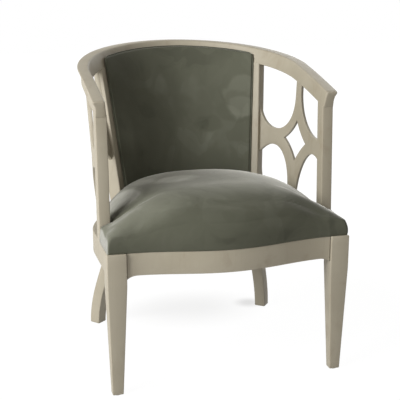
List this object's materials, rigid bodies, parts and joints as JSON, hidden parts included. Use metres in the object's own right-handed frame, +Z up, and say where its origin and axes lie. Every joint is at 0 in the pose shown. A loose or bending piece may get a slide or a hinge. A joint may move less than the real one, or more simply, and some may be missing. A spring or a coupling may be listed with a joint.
{
  "type": "barrel chair",
  "caption": "Barrel-back armchair: bowed painted frame with pierced fretwork sides, a high-crowned velvet seat, a curved velvet back, tapered front legs and splayed rear legs",
  "frame": {"origin": "on the floor under the middle of the bounding box", "axes": "+X to the chair's right as seen from its front, +Y from the front of the seat to the back, +Z up"},
  "size_m": [0.632, 0.709, 0.812],
  "materials": {
    "painted_wood": "greige satin paint over hardwood, softened edges",
    "bare_wood": "sawn hardwood and plywood, unfinished",
    "velvet": "grey-green velvet, pile crushed in soft patches",
    "foam": "open-cell cushion foam",
    "webbing": "woven elastic webbing",
    "dust_cloth": "thin non-woven black cloth",
    "screw_steel": "zinc-plated steel",
    "nylon": "moulded nylon"
  },
  "bodies": {
    "root": {"front_leg_left": "painted_wood", "front_leg_right": "painted_wood", "rear_post_left": "painted_wood", "rear_post_right": "painted_wood", "front_seat_rail": "painted_wood", "side_seat_rail_left": "painted_wood", "side_seat_rail_right": "painted_wood", "back_seat_rail": "painted_wood", "arm_post_left": "painted_wood", "arm_post_right": "painted_wood", "arm_rail_left": "painted_wood", "arm_rail_right": "painted_wood", "crest_rail": "painted_wood", "fret_panel_left": "painted_wood", "fret_panel_right": "painted_wood", "lower_back_rail": "bare_wood", "corner_block_front_left": "bare_wood", "corner_block_front_right": "bare_wood", "corner_block_rear_left": "bare_wood", "corner_block_rear_right": "bare_wood", "rail_dowels": "bare_wood", "seat_screws": "screw_steel", "seat_board": "bare_wood", "seat_foam": "foam", "seat_cover": "velvet", "back_webbing": "webbing", "back_foam": "foam", "inside_back_cover": "velvet", "back_welt": "velvet", "outside_back_cover": "velvet", "dust_cover": "dust_cloth", "glides": "nylon"}
  },
  "joints": []
}
